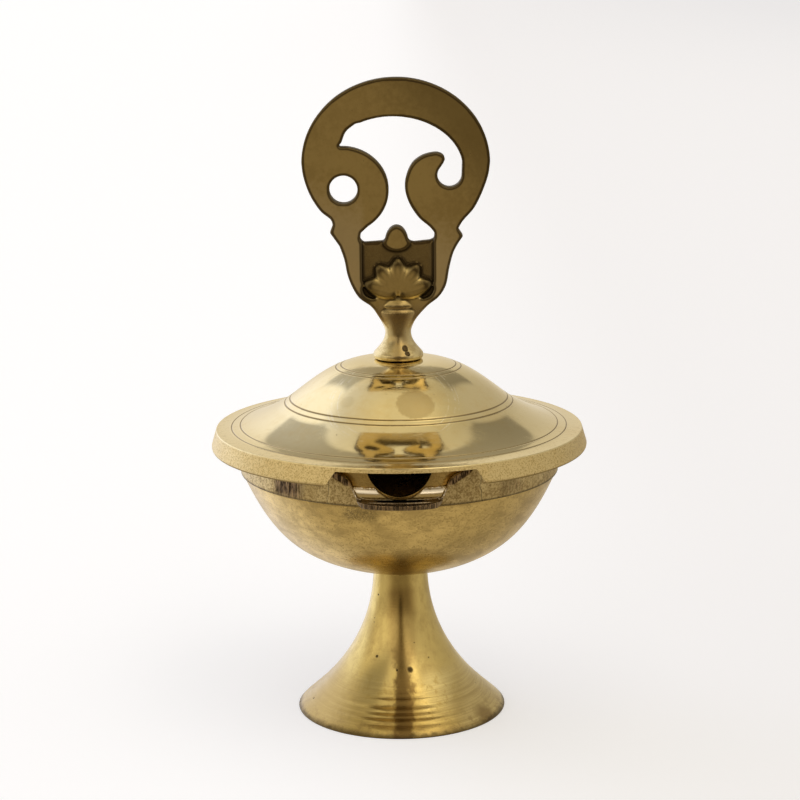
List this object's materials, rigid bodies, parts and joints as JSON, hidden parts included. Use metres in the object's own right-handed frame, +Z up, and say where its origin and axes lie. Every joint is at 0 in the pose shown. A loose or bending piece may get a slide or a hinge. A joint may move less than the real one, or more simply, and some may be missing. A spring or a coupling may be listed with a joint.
{
  "type": "covered oil lamp",
  "caption": "Footed brass oil lamp with a round bowl, a wick spout and a lift-off domed lid with an openwork finial.",
  "frame": {"origin": "centre of the ring face that the foot stands on", "axes": "+Z up through the finial, -Y towards the wick spout, +X to the right when the spout faces the viewer"},
  "size_m": [0.1022, 0.1012, 0.174],
  "materials": {
    "turned_brass": "satin turned brass with a cloudy brown patina",
    "cast_brass": "cast brass, filed by hand, finely pitted",
    "polished_brass": "bright polished brass with fine scratches",
    "finial_brass": "satin brass gone olive brown, dark in the recesses",
    "dark_brass": "dull tarnished brass"
  },
  "bodies": {
    "base": {"foot": "turned_brass", "bowl": "turned_brass", "rim_band": "cast_brass", "wick_spout": "cast_brass", "foot_washer": "dark_brass", "foot_nut": "dark_brass"},
    "cover": {"lid": "polished_brass", "finial": "finial_brass", "finial_washer": "dark_brass", "finial_nut": "dark_brass"}
  },
  "joints": [
    {"name": "lid_lift", "type": "slide", "parent": "base", "child": "cover", "axis": [0, 0, 1], "range_m": [0, 0.04]}
  ]
}
